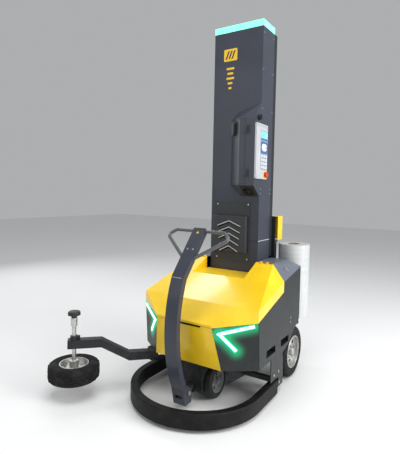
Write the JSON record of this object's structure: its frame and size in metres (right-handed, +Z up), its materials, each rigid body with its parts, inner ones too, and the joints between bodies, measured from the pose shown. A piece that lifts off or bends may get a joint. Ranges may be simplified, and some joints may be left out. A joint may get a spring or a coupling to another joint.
{
  "type": "mobile pallet wrapper",
  "caption": "Self-propelled pallet wrapper: wheeled body with tiller, bumper ring and side feeler wheel, mast with a lifting film carriage, hood and control box.",
  "frame": {"origin": "on the floor, in the middle of the footprint", "axes": "+Z up; the front with the tiller faces -Y; +X is the side of the film roll"},
  "size_m": [1.1553, 1.4613, 2.32],
  "materials": {
    "slate_paint": "satin",
    "yellow_paint": "gloss",
    "dark_paint": "satin",
    "grey_paint": "satin",
    "zinc_steel": "brushed",
    "aluminium": "cast",
    "tube_handle": "satin",
    "tyre_rubber": "matt",
    "wheel_rubber": "matt",
    "bumper_skin": "matt",
    "black_plastic": "matt",
    "green_light": "translucent",
    "white_light": "lit",
    "screen_glass": "gloss",
    "key_film": "satin",
    "red_plastic": "gloss",
    "warning_yellow": "gloss",
    "film_white": "glossy film",
    "card_core": "card"
  },
  "bodies": {
    "chassis": {"arrow_lights": "white_light", "batteries": "black_plastic", "belly_tray": "dark_paint", "bumper_brackets": "dark_paint", "chassis_frame": "dark_paint", "control_box": "slate_paint", "corner_panels": "dark_paint", "display_screen": "screen_glass", "drive_controller": "aluminium", "estop_plate": "warning_yellow", "fan_grille": "black_plastic", "feeler_bracket": "dark_paint", "front_panel": "yellow_paint", "gearmotors": "aluminium", "guide_rails": "zinc_steel", "hinges": "zinc_steel", "keypad": "key_film", "lift_drive": "aluminium", "mast_column": "slate_paint", "mast_foot": "slate_paint", "mast_light": "green_light", "operator_panel": "slate_paint", "rear_panel": "dark_paint", "screws": "zinc_steel", "shoulders": "grey_paint", "side_panels": "dark_paint", "slewing_ring": "zinc_steel", "vent_cover": "slate_paint"},
    "hood": {"hood": "yellow_paint"},
    "bumper": {"bumper_ring": "bumper_skin"},
    "steering": {"steering_fork": "dark_paint", "fork_pins": "zinc_steel"},
    "tiller": {"tiller_tube": "slate_paint", "tiller_handle": "tube_handle"},
    "front_wheel_r": {"front_wheel_right": "wheel_rubber"},
    "front_wheel_l": {"front_wheel_left": "wheel_rubber"},
    "rear_wheel_r": {"rear_tyre_right": "tyre_rubber", "rear_rim_right": "zinc_steel"},
    "rear_wheel_l": {"rear_tyre_left": "tyre_rubber", "rear_rim_left": "zinc_steel"},
    "feeler": {"feeler_arm": "dark_paint"},
    "feeler_mast": {"feeler_rod": "zinc_steel", "feeler_knob": "black_plastic"},
    "feeler_wheel": {"feeler_tyre": "tyre_rubber", "feeler_rim": "zinc_steel"},
    "door": {"control_door": "slate_paint"},
    "door_grip": {"door_handle": "black_plastic"},
    "estop": {"estop_button": "red_plastic"},
    "switch": {"main_switch": "black_plastic"},
    "lock_r": {"cam_lock_right": "zinc_steel"},
    "lock_l": {"cam_lock_left": "zinc_steel"},
    "carriage": {"carriage_frame": "dark_paint", "carriage_cover": "yellow_paint"},
    "roll": {"film_spindle": "zinc_steel", "film_core": "card_core", "film_roll": "film_white"},
    "stretch_1": {"stretch_roller_1": "wheel_rubber"},
    "stretch_2": {"stretch_roller_2": "wheel_rubber"},
    "dancer": {"dancer_arm": "dark_paint"},
    "dancer_tube": {"dancer_roller": "zinc_steel"}
  },
  "joints": [
    {"name": "hood_lift", "type": "hinge", "parent": "chassis", "child": "hood", "pos_m": [0.18067, 0.22167, 0.77125], "axis": [-1, 0, 0], "range_deg": [0, 13]},
    {"name": "bumper_push", "type": "slide", "parent": "chassis", "child": "bumper", "axis": [0, 1, 0], "range_m": [0, 0.025], "stiffness_N_per_m": 3000},
    {"name": "steering", "type": "hinge", "parent": "chassis", "child": "steering", "pos_m": [0.18067, -0.12633, 0.25], "axis": [0, 0, 1], "range_deg": [-35, 35]},
    {"name": "tiller_tilt", "type": "hinge", "parent": "steering", "child": "tiller", "pos_m": [0.18067, -0.33233, 0.092], "axis": [1, 0, 0], "range_deg": [0, 45]},
    {"name": "front_wheel_r_spin", "type": "hinge", "parent": "steering", "child": "front_wheel_r", "pos_m": [0.27267, -0.12633, 0.1], "axis": [1, 0, 0], "continuous": true},
    {"name": "front_wheel_l_spin", "type": "hinge", "parent": "steering", "child": "front_wheel_l", "pos_m": [0.08867, -0.12633, 0.1], "axis": [1, 0, 0], "continuous": true},
    {"name": "rear_wheel_r_spin", "type": "hinge", "parent": "chassis", "child": "rear_wheel_r", "pos_m": [0.51867, 0.41367, 0.165], "axis": [1, 0, 0], "continuous": true},
    {"name": "rear_wheel_l_spin", "type": "hinge", "parent": "chassis", "child": "rear_wheel_l", "pos_m": [-0.15733, 0.41367, 0.165], "axis": [1, 0, 0], "continuous": true},
    {"name": "feeler_swing", "type": "hinge", "parent": "chassis", "child": "feeler", "pos_m": [-0.09733, -0.25033, 0.192], "axis": [0, 0, 1], "range_deg": [-10, 30], "stiffness_Nm_per_rad": 60},
    {"name": "feeler_height", "type": "slide", "parent": "feeler", "child": "feeler_mast", "axis": [0, 0, 1], "range_m": [-0.05, 0.06]},
    {"name": "feeler_roll", "type": "hinge", "parent": "feeler_mast", "child": "feeler_wheel", "pos_m": [-0.42967, -0.58267, 0.15], "axis": [0, 0, 1], "continuous": true},
    {"name": "door_open", "type": "hinge", "parent": "chassis", "child": "door", "pos_m": [0.28767, 0.16067, 1.48], "axis": [0, 0, 1], "range_deg": [0, 100]},
    {"name": "door_handle_turn", "type": "hinge", "parent": "door", "child": "door_grip", "pos_m": [0.18436, 0.21488, 1.63], "axis": [-0.658, -0.753, 0], "range_deg": [0, 90]},
    {"name": "estop_press", "type": "slide", "parent": "chassis", "child": "estop", "axis": [-1, 0, 0], "range_m": [0, 0.004], "stiffness_N_per_m": 1500},
    {"name": "main_switch_turn", "type": "hinge", "parent": "chassis", "child": "switch", "pos_m": [0.34867, 0.21767, 1.694], "axis": [1, 0, 0], "range_deg": [-90, 0]},
    {"name": "lock_r_turn", "type": "hinge", "parent": "chassis", "child": "lock_r", "pos_m": [0.538, 0.28334, 0.72808], "axis": [0.62, -0.1443, 0.7713], "range_deg": [0, 90]},
    {"name": "lock_l_turn", "type": "hinge", "parent": "chassis", "child": "lock_l", "pos_m": [-0.17666, 0.28334, 0.72808], "axis": [-0.62, -0.1443, 0.7713], "range_deg": [-90, 0]},
    {"name": "carriage_lift", "type": "slide", "parent": "chassis", "child": "carriage", "axis": [0, 0, 1], "range_m": [0, 1.2]},
    {"name": "roll_spin", "type": "hinge", "parent": "carriage", "child": "roll", "pos_m": [0.46367, 0.62167, 0.5], "axis": [0, 0, 1], "continuous": true},
    {"name": "stretch_1_spin", "type": "hinge", "parent": "carriage", "child": "stretch_1", "pos_m": [0.28567, 0.57367, 0.6], "axis": [0, 0, 1], "continuous": true},
    {"name": "stretch_2_spin", "type": "hinge", "parent": "carriage", "child": "stretch_2", "pos_m": [0.19567, 0.57367, 0.6], "axis": [0, 0, 1], "continuous": true},
    {"name": "dancer_swing", "type": "hinge", "parent": "carriage", "child": "dancer", "pos_m": [0.11067, 0.55567, 0.6], "axis": [0, 0, 1], "range_deg": [-30, 30], "stiffness_Nm_per_rad": 2},
    {"name": "dancer_roll", "type": "hinge", "parent": "dancer", "child": "dancer_tube", "pos_m": [0.11067, 0.62567, 0.6], "axis": [0, 0, 1], "continuous": true}
  ],
  "couplings": [
    {"joint": "stretch_2_spin", "follows": "stretch_1_spin", "ratio": -2}
  ]
}
